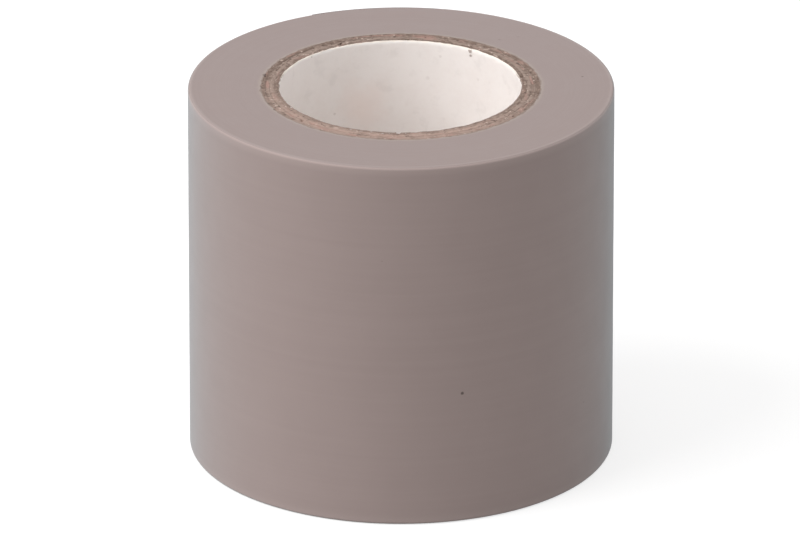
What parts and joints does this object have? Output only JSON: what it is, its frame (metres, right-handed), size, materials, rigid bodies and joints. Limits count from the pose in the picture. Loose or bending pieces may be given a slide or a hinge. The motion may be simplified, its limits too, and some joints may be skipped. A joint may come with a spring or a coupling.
{
  "type": "roll of pvc sealing tape",
  "caption": "Roll of grey PVC sealing tape wound on a paper core, standing on one end; its free end peels back from the outer turn.",
  "frame": {"origin": "on the roll's axis, in its lower end face", "axes": "+Z along the roll's axis, up from the end that it stands on; the free end of the tape is on the +Y side"},
  "size_m": [0.0553, 0.0554, 0.05],
  "materials": {
    "pvc_film": "satin",
    "tape_adhesive": "gloss",
    "kraft_board": "matte",
    "white_paper": "matte"
  },
  "bodies": {
    "roll": {"core_liner": "white_paper", "core_ply_1": "kraft_board", "core_ply_2": "kraft_board", "core_ply_3": "kraft_board", "core_ply_4": "kraft_board", "tape_winding": "pvc_film", "outer_turn_film": "pvc_film", "outer_turn_adhesive": "tape_adhesive"},
    "free_end": {"free_end_film": "pvc_film", "free_end_adhesive": "tape_adhesive"}
  },
  "joints": [
    {"name": "free_end_peel", "type": "hinge", "parent": "roll", "child": "free_end", "pos_m": [0.00577, 0.02715, 0.025], "axis": [0, 0, -1], "range_deg": [0, 150]}
  ]
}
